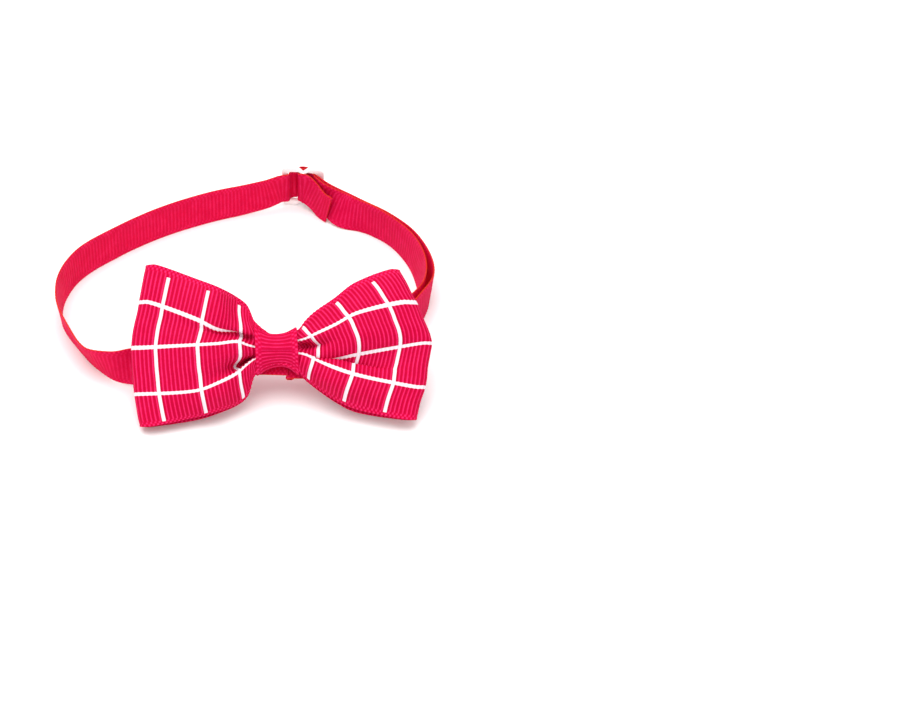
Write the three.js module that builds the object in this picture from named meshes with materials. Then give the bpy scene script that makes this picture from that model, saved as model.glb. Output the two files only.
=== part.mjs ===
// Pet bow tie on an adjustable ribbon neck strap.
//
// Millimetres, +Z up. The object lies on a table: the strap stands on its edge in an oval loop, and the
// bow leans back at the front of it. The origin ends up at the bottom centre of the bounding box.
//
//   bow_ribbon   wide ribbon sewn into a flat loop, pinched in the middle, hollow in both wings
//   knot_band    narrow ribbon wrapped once round the pinch
//   neck_strap   narrow ribbon: behind the knot, round the left, through the slider, doubled on the right
//   slider       moulded slide with three bars and two slots

import * as THREE from 'three';
import { mergeVertices } from 'three/addons/utils/BufferGeometryUtils.js';

// ---------------------------------------------------------------- driving dimensions

const WALL = 1.0;             // thickness of every ribbon
const GAP = 0.3;              // clearance between pieces that touch on the real object
const PLY = WALL + GAP;       // spacing of two layers of strap that lie on each other

const STRAP_WIDTH = 10;
const STRAP_STEP = 3;         // longest facet along the strap

const BOW_WIDTH = 38;         // width of the bow's ribbon
const BOW_CELLS_ACROSS = 18;
const FOLD_RADIUS = 1.9;      // the ribbon's turn at the end of each wing
const RECLINE = 47;           // elevation of the bow's front normal, degrees
const BOW_CENTRE = new THREE.Vector3(6.8, -34.0, 13.18);

const KNOT = { width: 9.5, waist: 3.9, flare: 1.4, depth: 3.3 };      // half height = waist + flare at the edges

const SLIDER = {
  x: 14.5, y: 32.9, yaw: -7, lean: -8,           // where it stands, turned about Z, leaning inwards
  halfLength: 5.4, halfHeight: 7.0, thickness: 1.8,
  bar: 1.6, slotLength: 3.1, slotHalfHeight: 5.6, slotTaper: 0.2,
  notch: 1.1, corner: 1.7,
};

// ---------------------------------------------------------------- tables

// The strap stands on its lower edge. x, y: its middle line from above. lift: height of the lower edge.
// lean: how far the upper edge tips away from the middle of the loop, in degrees.
const LEFT_SIDE = [
  { x: -11.0, y: -30.4, lift: 4.2, lean: -38 },
  { x: -19.0, y: -30.9, lift: 2.0, lean: -30 },
  { x: -26.5, y: -31.3, lift: 1.0, lean: -12 },
  { x: -31.0, y: -30.9, lift: 0.6, lean: 4 },
  { x: -35.8, y: -27.8, lift: 0.2, lean: 20 },
  { x: -40.8, y: -20.0, lift: 0.0, lean: 15 },
  { x: -44.4, y: -11.5, lift: 0.0, lean: 7 },
  { x: -44.6, y: -3.0, lift: 0.0, lean: 4 },
  { x: -40.6, y: 6.0, lift: 0.0, lean: 3 },
  { x: -31.8, y: 14.4, lift: 0.0, lean: 0 },
  { x: -24.0, y: 20.1, lift: 0.0, lean: 0 },
  { x: -17.0, y: 24.1, lift: 0.0, lean: 0 },
  { x: -8.0, y: 28.3, lift: 0.0, lean: 0 },
  { x: 2.5, y: 31.9, lift: 0.4, lean: -5 },
];
const RIGHT_SIDE_OUTER = [
  { x: 24.6, y: 27.0, lift: 0.5, lean: 12 },
  { x: 30.0, y: 24.1, lift: 0.0, lean: 0 },
  { x: 35.3, y: 20.0, lift: 0.0, lean: -4 },
  { x: 40.7, y: 12.5, lift: 0.0, lean: 1 },
  { x: 44.3, y: 3.0, lift: 0.0, lean: 6 },
  { x: 44.9, y: -4.2, lift: 0.0, lean: 7 },
  { x: 42.3, y: -11.0, lift: 0.0, lean: 6 },
  { x: 37.5, y: -17.6, lift: 0.2, lean: 0 },
  { x: 30.0, y: -25.0, lift: 1.2, lean: -14 },
  { x: 21.0, y: -29.4, lift: 3.0, lean: -32 },
];
const RIGHT_SIDE_INNER = [
  { x: 22.0, y: -27.0, lift: 2.2, lean: -32 },
  { x: 30.0, y: -22.2, lift: 0.8, lean: -14 },
  { x: 36.4, y: -14.6, lift: 0.0, lean: 0 },
  { x: 40.8, y: -6.2, lift: 0.0, lean: 8 },
  { x: 42.1, y: 2.4, lift: 0.0, lean: 10 },
  { x: 39.3, y: 11.3, lift: 0.0, lean: 3 },
  { x: 34.2, y: 18.4, lift: 0.0, lean: -4 },
  { x: 29.1, y: 22.7, lift: 0.0, lean: 1 },
  { x: 23.5, y: 25.5, lift: 0.5, lean: 13 },
];

// The front of each wing, a row for each fold of the pinch, top edge first. across: place across the ribbon.
// Heights (h) and depths (d) are in the bow's own plane at the knot, near it, half way out, and at the end,
// where reach is the distance from the knot's middle.
const LEFT_FOLDS = [
  { across: 19, knotH: 3.1, knotD: -0.3, nearH: 12.6, nearD: -0.4, midH: 16.7, midD: 0.8, reach: 29.5, endH: 19.9 },
  { across: 15, knotH: 3.0, knotD: 0.3, nearH: 9.3, nearD: 2.2, midH: 12.8, midD: 3.0, reach: 30.3, endH: 16.0 },
  { across: 10, knotH: 1.9, knotD: 0.0, nearH: 4.0, nearD: 1.6, midH: 7.2, midD: 3.6, reach: 31.3, endH: 11.2 },
  { across: 1, knotH: 0.8, knotD: 0.3, nearH: 2.2, nearD: 3.2, midH: 2.6, midD: 4.4, reach: 32.9, endH: 2.2 },
  { across: -6, knotH: -0.6, knotD: -0.2, nearH: -2.2, nearD: 1.0, midH: -5.0, midD: 3.8, reach: 32.6, endH: -5.2 },
  { across: -11, knotH: -1.8, knotD: 0.3, nearH: -5.2, nearD: 2.4, midH: -9.0, midD: 3.2, reach: 32.1, endH: -10.0 },
  { across: -19, knotH: -3.1, knotD: -0.3, nearH: -10.4, nearD: -0.2, midH: -14.4, midD: 0.6, reach: 30.9, endH: -16.7 },
];
const RIGHT_FOLDS = [
  { across: 19, knotH: 3.1, knotD: -0.3, nearH: 8.9, nearD: -0.2, midH: 15.5, midD: 0.6, reach: 28.3, endH: 18.7 },
  { across: 14, knotH: 2.7, knotD: 0.3, nearH: 6.8, nearD: 2.2, midH: 11.8, midD: 3.0, reach: 30.4, endH: 14.8 },
  { across: 9, knotH: 1.7, knotD: 0.3, nearH: 4.2, nearD: 3.0, midH: 7.6, midD: 4.4, reach: 32.5, endH: 9.8 },
  { across: 2, knotH: 0.8, knotD: 0.0, nearH: 1.4, nearD: 2.0, midH: 2.2, midD: 4.2, reach: 35.2, endH: 3.6 },
  { across: -4, knotH: -0.2, knotD: -0.2, nearH: -0.6, nearD: 0.9, midH: -2.6, midD: 2.6, reach: 34.9, endH: -2.0 },
  { across: -10, knotH: -1.5, knotD: 0.3, nearH: -2.6, nearD: 3.0, midH: -5.8, midD: 4.2, reach: 33.5, endH: -7.6 },
  { across: -19, knotH: -3.1, knotD: -0.3, nearH: -8.2, nearD: -0.2, midH: -13.8, midD: 0.4, reach: 31.9, endH: -15.1 },
];
const KNOT_REACH = 4.9;       // distances from the knot's middle to the table's first three sections
const NEAR_REACH = 9.0;
const MID_REACH = 18.0;

// The rear of each wing follows the front's outline, hangs a little lower, and bulges the other way.
const REAR = { sag: 1.0, nearScale: 0.92, nearDepth: 1.8, nearBulge: 0.9, midDepth: 1.6, midBulge: 2.2 };
const PINCH = { front: 0.95, rear: -0.95, waist: 0.62 };      // depth of the two layers, and their height in the middle

// ---------------------------------------------------------------- small helpers

const radians = THREE.MathUtils.degToRad;

// A smooth curve through rows of numbers, spaced by the square root of the distance between their first
// three entries, which keeps it from overshooting where rows are close together.
function smoothRows(rows, closed, cellsBetween) {
  const count = rows.length;
  const at = (i) => (closed ? rows[(i + count) % count] : rows[Math.min(Math.max(i, 0), count - 1)]);
  const span = (i) => {
    const [a, b] = [at(i), at(i + 1)];
    return Math.sqrt(Math.hypot(a[0] - b[0], a[1] - b[1], a[2] - b[2]));
  };
  const slope = (i) => {
    if (!closed && (i === 0 || i === count - 1)) {
      const [from, to, width] = i === 0 ? [at(0), at(1), span(0)] : [at(i - 1), at(i), span(i - 1)];
      return from.map((value, k) => (to[k] - value) / width);
    }
    const [before, after] = [span(i - 1), span(i)];
    return at(i).map((value, k) => {
      const arriving = (value - at(i - 1)[k]) / before;
      const leaving = (at(i + 1)[k] - value) / after;
      return (arriving * after + leaving * before) / (before + after);
    });
  };
  const out = [];
  for (let i = 0; i < (closed ? count : count - 1); i++) {
    const [a, b, m, n, width, cells] = [at(i), at(i + 1), slope(i), slope(closed ? (i + 1) % count : i + 1),
      span(i), cellsBetween(at(i), at(i + 1), i)];
    for (let j = 0; j < cells; j++) {
      const t = j / cells;
      const [t2, t3] = [t * t, t * t * t];
      out.push(a.map((value, k) => (2 * t3 - 3 * t2 + 1) * value + (t3 - 2 * t2 + t) * width * m[k]
        + (3 * t2 - 2 * t3) * b[k] + (t3 - t2) * width * n[k]));
    }
  }
  if (!closed) out.push(at(count - 1));
  return out;
}

// Joins rings of points into one closed body. Each ring has the same number of points. The rings close
// on the first one, or are capped at both ends.
function solidFromRings(rings, closed) {
  const sides = rings[0].length;
  const positions = rings.flat().flatMap((point) => point.toArray());
  const faces = [];
  const last = closed ? rings.length : rings.length - 1;
  for (let i = 0; i < last; i++) {
    const next = (i + 1) % rings.length;
    for (let j = 0; j < sides; j++) {
      const k = (j + 1) % sides;
      const [a, b, c, d] = [i * sides + j, i * sides + k, next * sides + k, next * sides + j];
      faces.push(a, b, c, a, c, d);
    }
  }
  if (!closed) {
    const end = (rings.length - 1) * sides;
    for (let j = 1; j < sides - 1; j++) {
      faces.push(0, j + 1, j);
      faces.push(end, end + j, end + j + 1);
    }
  }
  const geometry = new THREE.BufferGeometry();
  geometry.setAttribute('position', new THREE.Float32BufferAttribute(positions, 3));
  geometry.setIndex(facingOut(positions, faces));
  geometry.computeVertexNormals();
  return geometry;
}

// Turns the faces round if they enclose a negative volume.
function facingOut(positions, faces) {
  const point = (i) => new THREE.Vector3().fromArray(positions, 3 * i);
  let volume = 0;
  for (let i = 0; i < faces.length; i += 3) {
    volume += point(faces[i]).dot(point(faces[i + 1]).cross(point(faces[i + 2])));
  }
  if (volume > 0) return faces;
  return faces.map((_, i) => faces[3 * Math.floor(i / 3) + [0, 2, 1][i % 3]]);
}

function piece(name, geometry, color, roughness) {
  const material = new THREE.MeshStandardMaterial({ color, roughness, metalness: 0 });
  const mesh = new THREE.Mesh(geometry, material);
  mesh.name = name;
  return mesh;
}

// ---------------------------------------------------------------- frames of the bow and the slider

const bowRight = new THREE.Vector3(1, 0, 0);
const bowUp = new THREE.Vector3(0, Math.sin(radians(RECLINE)), Math.cos(radians(RECLINE)));
const bowFront = new THREE.Vector3(0, -Math.cos(radians(RECLINE)), Math.sin(radians(RECLINE)));

function onBow(right, up, front) {
  return BOW_CENTRE.clone().addScaledVector(bowRight, right).addScaledVector(bowUp, up)
    .addScaledVector(bowFront, front);
}

// The slider's own axes: along the strap, up its height, and outwards through its thickness.
const sliderTurn = new THREE.Quaternion().setFromEuler(
  new THREE.Euler(radians(90 - SLIDER.lean), 0, radians(SLIDER.yaw), 'ZYX'),
);
const sliderAlong = new THREE.Vector3(1, 0, 0).applyQuaternion(sliderTurn);
const sliderUp = new THREE.Vector3(0, 1, 0).applyQuaternion(sliderTurn);
const sliderOut = new THREE.Vector3(0, 0, -1).applyQuaternion(sliderTurn);
const sliderCentre = new THREE.Vector3(
  SLIDER.x, SLIDER.y,
  SLIDER.halfHeight * Math.cos(radians(SLIDER.lean))
    + (SLIDER.thickness / 2) * Math.abs(Math.sin(radians(SLIDER.lean))),
);

function onSlider(along, out, up = 0) {
  return sliderCentre.clone().addScaledVector(sliderAlong, along).addScaledVector(sliderOut, out)
    .addScaledVector(sliderUp, up);
}

// ---------------------------------------------------------------- neck_strap

// Rows of the strap's route: the middle of the ribbon, then the direction across its width.
const routeRow = (point, across) => [...point.toArray(), ...across.toArray()];

function standingRows(table, before, after) {
  const line = [before, ...table.map(({ x, y }) => new THREE.Vector3(x, y, 0)), after];
  return table.map(({ x, y, lift, lean }, i) => {
    const along = line[i + 2].clone().sub(line[i]).setZ(0).normalize();
    const out = new THREE.Vector3(-along.y, along.x, 0);
    if (out.x * x + out.y * y < 0) out.negate();
    const across = out.multiplyScalar(Math.sin(radians(lean))).setZ(Math.cos(radians(lean)));
    const height = lift + (STRAP_WIDTH / 2) * across.z + (WALL / 2) * Math.abs(Math.sin(radians(lean)));
    return routeRow(new THREE.Vector3(x, y, height), across);
  });
}

// Points on a quarter turn round a corner of a bar, seen along the bars: along and out, in the slider's plane.
function roundCorner([along, out], radius, from, to) {
  return [from, (from + to) / 2, to].map((degrees) => [
    along + radius * Math.cos(radians(degrees)), out + radius * Math.sin(radians(degrees)),
  ]);
}

function strapRoute() {
  const behindKnot = -(KNOT.depth + 1.5 * GAP + WALL / 2);       // depth of the layer that lies on the band's back
  const turn = { right: 2.5, up: -1.0, radius: PLY / 2 };  // the turn behind the knot, a little low
  const [face, midBar] = [SLIDER.thickness / 2, SLIDER.bar / 2];
  const endBar = midBar + SLIDER.slotLength;
  const close = 1.3 * GAP + WALL / 2;                      // first layer on a bar
  const second = close + PLY;

  const bowRows = (points) => points.map((point) => routeRow(onBow(...point), bowUp));
  const sliderRows = (points) => points.map((point) => routeRow(onSlider(...point), sliderUp));

  const start = bowRows([[1.4, 0, behindKnot], [-5, 0, behindKnot]]);
  const throughSlider = sliderRows([
    [-7.0, -face - close], ...roundCorner([-endBar, -face], close, -90, 0),
    ...roundCorner([-midBar, face], second, 180, 90), ...roundCorner([midBar, face], second, 90, 0),
    ...roundCorner([endBar, -face], close, 180, 270), [6.0, -face - close],
  ]);
  const turnRows = [0, 45, 90, 135, 180].map((degrees) => [
    turn.right + turn.radius * (1 - Math.sin(radians(degrees))), turn.up,
    behindKnot - turn.radius * (1 - Math.cos(radians(degrees))),
  ]);
  const behind = bowRows([[7.4, turn.up, behindKnot], ...turnRows, [6.4, turn.up, behindKnot - PLY]]);
  const endLoop = sliderRows([
    [4.6, -face - second - 0.1], ...roundCorner([endBar, -face], second, 270, 180),
    ...roundCorner([midBar, face], close, 0, 90), ...roundCorner([-midBar, face], close, 90, 180),
    ...roundCorner([-midBar, -face], close, 180, 270),
    [0.9, -face - 2.0 * PLY, -0.1], [3.8, -face - 3.3 * PLY, -0.4], [7.3, -face - 5.1 * PLY, -1.0],
  ]);
  const knotSpot = onBow(0, 0, behindKnot);
  return [
    ...start, ...standingRows(LEFT_SIDE, knotSpot, sliderCentre),
    ...throughSlider, ...standingRows(RIGHT_SIDE_OUTER, sliderCentre, knotSpot),
    ...behind, ...standingRows(RIGHT_SIDE_INNER, knotSpot, sliderCentre),
    ...endLoop,
  ];
}

function neckStrap() {
  const cells = (a, b) => Math.max(2, Math.ceil(Math.hypot(a[0] - b[0], a[1] - b[1], a[2] - b[2]) / STRAP_STEP));
  const route = smoothRows(strapRoute(), false, cells);
  const middle = route.map((row) => new THREE.Vector3(row[0], row[1], row[2]));
  const rings = route.map((row, i) => {
    const along = middle[Math.min(i + 1, middle.length - 1)].clone().sub(middle[Math.max(i - 1, 0)]).normalize();
    const across = new THREE.Vector3(row[3], row[4], row[5]);
    across.addScaledVector(along, -across.dot(along)).normalize();
    const face = along.clone().cross(across);
    const corner = (side, edge) => middle[i].clone().addScaledVector(face, (side * WALL) / 2)
      .addScaledVector(across, (edge * STRAP_WIDTH) / 2);
    const ring = [corner(-1, -1), corner(1, -1), corner(1, 1), corner(-1, 1)];
    const sunk = Math.min(0, ...ring.map((point) => point.z));       // the table stops the lower edge
    return ring.map((point) => point.setZ(point.z - sunk));
  });
  return solidFromRings(rings, false);
}

// ---------------------------------------------------------------- bow_ribbon

// One row of a fold table at any place across the ribbon, on a smooth curve through its neighbours.
function foldAt(table, across) {
  const at = (i) => table[Math.min(Math.max(i, 0), table.length - 1)];
  const found = table.findIndex((row) => row.across <= across);
  const i = Math.min(Math.max(found, 1), table.length - 1);
  const [a, b] = [at(i - 1), at(i)];
  const width = b.across - a.across;
  const t = (across - a.across) / width;
  const slope = (before, after, key) => (after[key] - before[key]) / (after.across - before.across);
  return Object.fromEntries(Object.keys(a).map((key) => [key,
    (2 * t ** 3 - 3 * t ** 2 + 1) * a[key] + (t ** 3 - 2 * t ** 2 + t) * width * slope(at(i - 2), b, key)
    + (3 * t ** 2 - 2 * t ** 3) * b[key] + (t ** 3 - t ** 2) * width * slope(a, at(i + 1), key),
  ]));
}

// Sections of one wing at one place across the ribbon, from the knot's front out to the end and back.
function wingSections(side, table, across) {
  const fold = foldAt(table, across);
  const crown = 1 - (across / (BOW_WIDTH / 2)) ** 2;
  const turn = fold.reach - FOLD_RADIUS;
  const front = [
    [KNOT_REACH, fold.knotH, PINCH.front + fold.knotD],
    [NEAR_REACH, fold.nearH, fold.nearD],
    [MID_REACH, fold.midH, fold.midD],
  ];
  const end = [0, 45, 90, 135, 180].map((degrees) => [
    turn + FOLD_RADIUS * Math.sin(radians(degrees)), fold.endH, FOLD_RADIUS * Math.cos(radians(degrees)),
  ]);
  const evenH = (across / (BOW_WIDTH / 2)) * (across > 0 ? table[0].nearH : -table.at(-1).nearH);
  const rear = [
    [MID_REACH, fold.midH - REAR.sag, -(REAR.midDepth + REAR.midBulge * crown)],
    [NEAR_REACH, REAR.nearScale * evenH - REAR.sag / 2, -(REAR.nearDepth + REAR.nearBulge * crown)],
    [KNOT_REACH, fold.knotH, PINCH.rear + fold.knotD],
  ];
  return [...front, ...end, ...rear].map(([right, up, depth]) => [side * right, up, depth]);
}

function bowRibbon() {
  const spanCells = [3, 3, 4, 1, 1, 1, 1, 4, 3, 3, 2, 2];
  const loops = [];
  for (let j = 0; j <= BOW_CELLS_ACROSS; j++) {
    const across = BOW_WIDTH * (j / BOW_CELLS_ACROSS - 0.5);
    const right = wingSections(1, RIGHT_FOLDS, across);
    const left = wingSections(-1, LEFT_FOLDS, across).reverse();
    const waist = PINCH.waist * 0.5 * (right[0][1] + left.at(-1)[1]);
    const rows = [...right, [0, waist, PINCH.rear], ...left, [0, waist, PINCH.front]];
    const half = (rows.length - 2) / 2;
    loops.push(smoothRows(rows, true, (a, b, i) => spanCells[i % (half + 1)])
      .map(([x, up, depth]) => onBow(x, up, depth)));
  }
  return sheetSolid(loops);
}

// Thickens a sheet, given as closed loops side by side, by half a wall to each side.
function sheetSolid(loops) {
  const stations = loops[0].length;
  const rings = [];
  for (let i = 0; i < stations; i++) {
    const normals = loops.map((loop, j) => {
      const along = loop[(i + 1) % stations].clone().sub(loop[(i + stations - 1) % stations]);
      const across = loops[Math.min(j + 1, loops.length - 1)][i].clone().sub(loops[Math.max(j - 1, 0)][i]);
      return along.cross(across).normalize();
    });
    const offset = (distance) => loops.map((loop, j) => loop[i].clone().addScaledVector(normals[j], distance));
    rings.push([...offset(WALL / 2), ...offset(-WALL / 2).reverse()]);
  }
  return solidFromRings(rings, true);
}

// ---------------------------------------------------------------- knot_band

// A ring with rounded corners, flared towards both edges like a saddle.
function knotBand() {
  const steps = 40;
  const columns = [-1, -0.6, -0.2, 0.2, 0.6, 1];
  const squareness = 0.62;
  const corner = (value) => Math.sign(value) * Math.abs(value) ** squareness;
  const ringPoint = (column, angle, inset) => {
    const halfHeight = KNOT.waist + KNOT.flare * column * column - inset;
    return onBow((column * KNOT.width) / 2, halfHeight * corner(Math.sin(angle)),
      (KNOT.depth - inset) * corner(Math.cos(angle)));
  };
  const rings = Array.from({ length: steps }, (_, i) => {
    const angle = (2 * Math.PI * i) / steps;
    return [
      ...columns.map((column) => ringPoint(column, angle, 0)),
      ...columns.map((column) => ringPoint(-column, angle, WALL)),
    ];
  });
  return solidFromRings(rings, true);
}

// ---------------------------------------------------------------- slider

// The upper right quarter of the outline, from the notch round the corner to the right side.
function sliderQuarter() {
  const { halfLength, halfHeight, notch, corner, bar } = SLIDER;
  const lobe = bar / 2 + 0.9;                          // where the notch has risen to the full height
  const round = [90, 67.5, 45, 22.5, 0].map((degrees) => new THREE.Vector2(
    halfLength - corner * (1 - Math.cos(radians(degrees))),
    halfHeight - corner * (1 - Math.sin(radians(degrees))),
  ));
  return [new THREE.Vector2(0, halfHeight - notch), new THREE.Vector2(lobe, halfHeight), ...round];
}

function sliderBody() {
  const { bar, slotLength, slotHalfHeight, slotTaper, thickness } = SLIDER;
  const quarter = sliderQuarter();
  const mirrored = (x, y) => quarter.map((point) => new THREE.Vector2(x * point.x, y * point.y));
  const shape = new THREE.Shape([
    ...mirrored(1, 1), ...mirrored(1, -1).reverse(),
    ...mirrored(-1, -1).slice(1), ...mirrored(-1, 1).reverse().slice(0, -1),
  ].reverse());
  for (const side of [-1, 1]) {
    const [near, far] = [(side * bar) / 2, side * (bar / 2 + slotLength)];
    const [tall, short] = [slotHalfHeight, slotHalfHeight - slotTaper];
    shape.holes.push(new THREE.Path([[near, -tall], [far, -short], [far, short], [near, tall]]
      .map(([x, y]) => new THREE.Vector2(x, y))));
  }
  const geometry = new THREE.ExtrudeGeometry(shape, { depth: thickness, bevelEnabled: false });
  geometry.translate(0, 0, -thickness / 2);
  geometry.deleteAttribute('normal');
  geometry.deleteAttribute('uv');
  return mergeVertices(geometry);
}

// ---------------------------------------------------------------- assembly

const bowTie = new THREE.Group();
bowTie.add(piece('bow_ribbon', bowRibbon(), 0xe2185a, 0.7));
bowTie.add(piece('knot_band', knotBand(), 0xd81452, 0.7));
bowTie.add(piece('neck_strap', neckStrap(), 0xe2185a, 0.7));

const slide = piece('slider', sliderBody(), 0xf4f2f0, 0.35);
slide.position.copy(sliderCentre);
slide.quaternion.copy(sliderTurn);
bowTie.add(slide);

bowTie.updateMatrixWorld(true);
const box = new THREE.Box3().setFromObject(bowTie, true);
const middle = box.getCenter(new THREE.Vector3());
bowTie.position.set(-middle.x, -middle.y, -box.min.z);

export default bowTie;
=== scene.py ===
"""Pet bow tie on an adjustable ribbon neck strap: the looks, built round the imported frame.

The strap and the bow are grosgrain: a polyester ribbon with a raised rib across it every millimetre and a
flat woven edge. The bow's ribbon carries a printed grid of thin white lines. The slide is moulded plastic.
Tables are in millimetres, in the frame the ribbons were laid out in; placed() takes them to the row frame.
"""

import math
from functools import partial

import bpy
import numpy as np
from mathutils import Matrix, Vector
from mathutils.geometry import delaunay_2d_cdt


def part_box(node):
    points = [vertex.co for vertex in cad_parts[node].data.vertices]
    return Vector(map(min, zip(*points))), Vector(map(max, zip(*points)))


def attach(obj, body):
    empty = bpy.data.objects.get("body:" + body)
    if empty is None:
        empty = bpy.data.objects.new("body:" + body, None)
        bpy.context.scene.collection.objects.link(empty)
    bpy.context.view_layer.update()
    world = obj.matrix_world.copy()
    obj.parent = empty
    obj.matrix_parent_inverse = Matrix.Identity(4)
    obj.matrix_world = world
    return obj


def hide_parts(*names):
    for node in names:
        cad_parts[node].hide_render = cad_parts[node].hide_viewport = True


bl_info = {
    "name": "Pet Bow Tie",
    "version": (1, 0, 0),
    "blender": (4, 5, 0),
    "location": "View3D > Sidebar > Bow Tie",
    "description": "Grosgrain bow tie, neck strap and slide on the packed frame",
    "category": "Add Mesh",
}

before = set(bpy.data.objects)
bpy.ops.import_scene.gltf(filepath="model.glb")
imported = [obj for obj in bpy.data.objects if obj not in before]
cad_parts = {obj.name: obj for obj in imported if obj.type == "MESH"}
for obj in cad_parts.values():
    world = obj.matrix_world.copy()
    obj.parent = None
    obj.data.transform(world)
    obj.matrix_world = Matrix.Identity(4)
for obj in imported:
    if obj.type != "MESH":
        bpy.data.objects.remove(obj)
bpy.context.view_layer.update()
MM = 0.001
PER_MM = 1000.0  # takes a texture's cells to the millimetre to cells to the metre
MATH = "ShaderNodeMath"

# ------------ layout, in millimetres and degrees

SLIDE_X, SLIDE_Y = 14.5, 32.9  # middle of the frame's slide in the layout
SLIDE_BACK = 1.3  # thin ribbon lets it sit this much further back than in the frame
SLIDE_YAW, SLIDE_LEAN = -7.0, -8.0
SLIDE = {"length": 10.8, "height": 14.0, "thickness": 1.3, "bar": 1.6, "slot": 3.1, "slot_height": 10.9,
         "notch": 2.0, "notch_width": 3.8, "corner": 1.7,
         "slot_corner": 0.35, "slot_cut": (0.5, 0.7), "slot_slope": 0.2}
BOW_CENTRE = np.array([6.8, -34.0, 13.18])
RECLINE = 47.0  # the bow leans back this much from upright
FIRST_PLY, PLY = 0.36, 0.66  # from a bar to the first layer of strap, and from layer to layer
BEHIND_KNOT = 1.25  # from the knot's depth to the first layer of strap behind it
# The knot's half height in the middle (waist), what its edges and its left edge add (flare, left_rise), the
# same below, where its narrowest place is off the middle (low_middle), and its sideways slant.
KNOT = {"width": 9.8, "depth": 3.0, "waist": 3.75, "flare": 1.7, "left_rise": 0.8,
        "low_waist": 3.3, "low_flare": 2.2, "low_middle": 0.2, "slant": 0.05}
KNOT_BOXY, KNOT_DRAWN_IN = 0.66, 1.6  # powers of its outline's sine and cosine; the second, low in front

_low, _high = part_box("slider")
OFFSET = np.array([(_low.x + _high.x) / 2 / MM - SLIDE_X, (_low.y + _high.y) / 2 / MM - SLIDE_Y, _low.z / MM])


def placed(points):
    """Layout millimetres to row frame metres."""
    return (np.asarray(points, float) + OFFSET) * MM


# The strap stands on its lower edge: x, y of its middle, lift of the lower edge, and lean of the upper edge
# away from the middle of the loop in degrees.
LEFT_SIDE = [
    (-11.0, -30.4, 4.2, -38), (-19.0, -30.9, 2.0, -30), (-26.5, -31.3, 1.0, -12), (-31.0, -30.9, 0.6, 4),
    (-35.8, -27.8, 0.2, 20), (-40.8, -20.0, 0.0, 15), (-44.4, -11.5, 0.0, 7), (-44.4, -3.0, 0.0, 4),
    (-40.6, 5.8, 0.0, 2), (-31.8, 14.2, 0.0, 0), (-24.0, 20.0, 0.0, 0), (-17.0, 24.1, 0.0, 0),
    (-8.0, 28.2, 0.0, 0), (0.5, 31.0, 0.2, -2), (5.2, 32.35, 0.7, -4),
]
RIGHT_SIDE_OUTER = [
    (24.6, 27.0, 0.5, 12), (30.2, 24.2, 0.0, 0), (35.9, 20.1, 0.0, -3), (41.6, 12.8, 0.0, 1),
    (44.8, 3.5, 0.0, 5), (45.0, -3.6, 0.0, 4), (42.2, -10.2, 0.0, -3), (37.9, -16.8, 0.2, -8),
    (30.0, -25.0, 1.2, -14), (21.0, -29.4, 3.0, -32),
]
RIGHT_SIDE_INNER = [
    (22.0, -27.6, 2.2, -32), (31.0, -22.0, 0.8, -17), (38.1, -13.9, 0.0, -12), (42.8, -5.8, 0.0, 0),
    (43.1, 2.6, 0.0, 9), (41.0, 11.1, 0.0, 6), (36.3, 18.5, 0.0, -1), (31.3, 23.0, 0.0, 0),
    (28.6, 24.5, 0.0, 2), (23.8, 26.8, 0.5, 13),
]

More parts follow.
